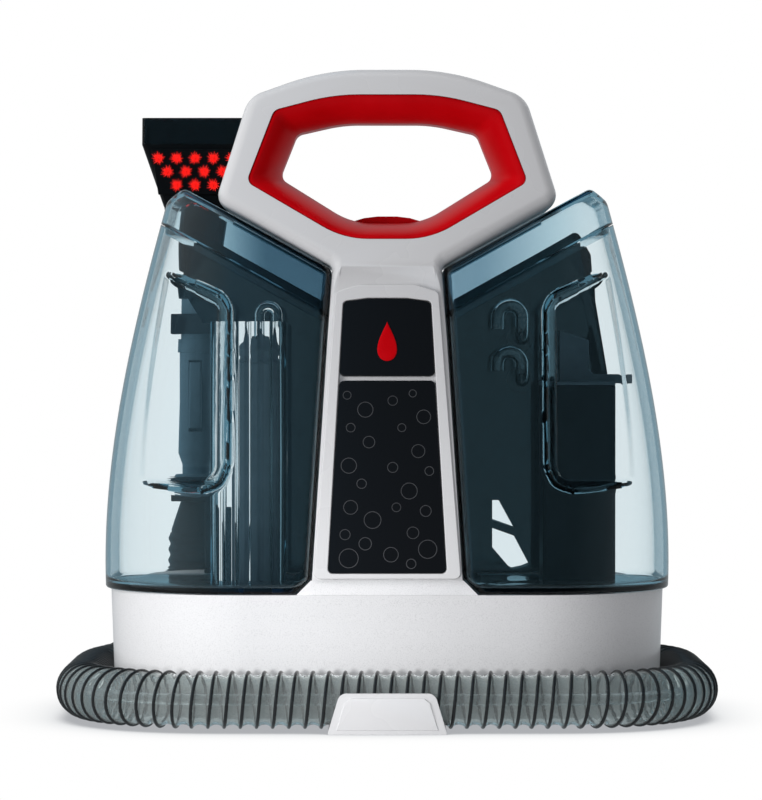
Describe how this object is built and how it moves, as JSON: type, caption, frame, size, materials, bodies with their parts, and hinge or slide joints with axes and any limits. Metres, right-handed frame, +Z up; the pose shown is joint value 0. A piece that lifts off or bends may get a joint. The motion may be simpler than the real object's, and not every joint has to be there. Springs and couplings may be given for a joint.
{
  "type": "portable spot extractor",
  "caption": "Portable carpet spot extractor with clear side tanks, a carrying handle, a wrapped ribbed hose and a brush tool.",
  "frame": {"origin": "on the floor under the middle of the machine", "axes": "+Z up, -Y the front with the panels, +X the machine's right as seen from the front"},
  "size_m": [0.3692, 0.2592, 0.364],
  "materials": {
    "white_gloss": "smooth white moulding",
    "white_base": "white moulding with fine flecks",
    "red_soft": "red overmoulded grip",
    "black_gloss": "glossy black panel",
    "dark_plastic": "dark grey moulding",
    "clear_tank": "clear moulded tank",
    "smoked_tank": "smoked moulded tank",
    "clear_inner": "clear inner moulding",
    "grey_plastic": "mid grey moulding",
    "clip_white": "white clip",
    "hose_skin": "translucent ribbed hose",
    "red_bristle": "red tufts",
    "window_clear": "clear nozzle window",
    "rubber_black": "black rubber",
    "tube_clear": "soft clear tube",
    "motor_metal": "motor can",
    "screw_steel": "screws and pins",
    "orange_float": "pale float",
    "brass_tip": "spray nozzle"
  },
  "bodies": {
    "machine": {"base_shell": "white_base", "bottom_plate": "dark_plastic", "rubber_feet": "rubber_black", "base_screws": "screw_steel", "front_hose_clip": "clip_white", "rear_hose_clip": "clip_white", "front_housing": "white_gloss", "rear_handle": "white_gloss", "handle_grip": "red_soft", "switch_body": "dark_plastic", "upper_panel": "black_gloss", "lower_panel": "black_gloss", "panel_bezel": "white_gloss", "vacuum_motor": "motor_metal", "motor_mount": "rubber_black", "fan_case": "dark_plastic", "tank_socket": "dark_plastic", "pump": "dark_plastic", "pump_tubes": "tube_clear", "rear_housing": "dark_plastic", "port_gaskets": "rubber_black", "cord_hook_fixed": "dark_plastic", "cord_gland": "rubber_black", "exhaust_grille": "dark_plastic", "housing_screws": "screw_steel", "hose": "hose_skin", "hose_port": "dark_plastic", "machine_cuff": "dark_plastic", "wand_cuff": "dark_plastic", "solution_tube": "tube_clear", "wand_shell_left": "dark_plastic", "wand_shell_right": "dark_plastic", "tool_holder": "dark_plastic", "wand_rest": "dark_plastic"},
    "clean_tank_body": {"clean_tank": "clear_tank", "clean_tank_lid": "smoked_tank", "tank_baffle": "clear_inner", "pickup_filter": "grey_plastic", "vent_tube": "clear_inner", "tank_cap": "dark_plastic"},
    "valve_body": {"outlet_valve": "rubber_black"},
    "dirty_tank_body": {"dirty_tank": "smoked_tank", "dirty_tank_lid": "smoked_tank", "separator_box": "dark_plastic", "splash_guard": "dark_plastic", "intake_elbow": "grey_plastic", "outlet_elbow": "grey_plastic", "float_rod": "grey_plastic"},
    "float_body": {"tank_float": "orange_float"},
    "switch_rocker": {"power_switch": "red_soft"},
    "trigger_body": {"trigger": "grey_plastic"},
    "tool": {"tool_body": "dark_plastic", "nozzle_window": "window_clear", "brush_plate": "dark_plastic", "bristles": "red_bristle", "spray_tip": "brass_tip"},
    "button_body": {"release_button": "grey_plastic"},
    "swivel_hook": {"cord_hook_swivel": "dark_plastic"},
    "fan": {"fan_impeller": "motor_metal"}
  },
  "joints": [
    {"name": "clean_tank_slide", "type": "slide", "parent": "machine", "child": "clean_tank_body", "axis": [-0.9063, 0, 0.4226], "range_m": [0, 0.16]},
    {"name": "dirty_tank_slide", "type": "slide", "parent": "machine", "child": "dirty_tank_body", "axis": [0.9063, 0, 0.4226], "range_m": [0, 0.16]},
    {"name": "outlet_valve_slide", "type": "slide", "parent": "clean_tank_body", "child": "valve_body", "axis": [0, 0, 1], "range_m": [0, 0.003], "stiffness_N_per_m": 200},
    {"name": "float_rise", "type": "slide", "parent": "dirty_tank_body", "child": "float_body", "axis": [0, 0, 1], "range_m": [0, 0.045]},
    {"name": "power_switch_rock", "type": "hinge", "parent": "machine", "child": "switch_rocker", "pos_m": [0, 0, 0.275], "axis": [1, 0, 0], "range_deg": [-6, 6]},
    {"name": "trigger_squeeze", "type": "hinge", "parent": "machine", "child": "trigger_body", "pos_m": [-0.114, 0.0945, 0.195], "axis": [1, 0, 0], "range_deg": [0, 7], "stiffness_Nm_per_rad": 2},
    {"name": "tool_pull_off", "type": "slide", "parent": "machine", "child": "tool", "axis": [0, 0, 1], "range_m": [0, 0.045]},
    {"name": "tool_release", "type": "slide", "parent": "tool", "child": "button_body", "axis": [0, -1, 0], "range_m": [0, 0.003], "stiffness_N_per_m": 400},
    {"name": "cord_hook_turn", "type": "hinge", "parent": "machine", "child": "swivel_hook", "pos_m": [-0.03, 0.0883, 0.132], "axis": [0, 1, 0], "range_deg": [0, 180]},
    {"name": "fan_spin", "type": "hinge", "parent": "machine", "child": "fan", "pos_m": [0, 0, 0.19], "axis": [0, 0, 1], "continuous": true}
  ]
}
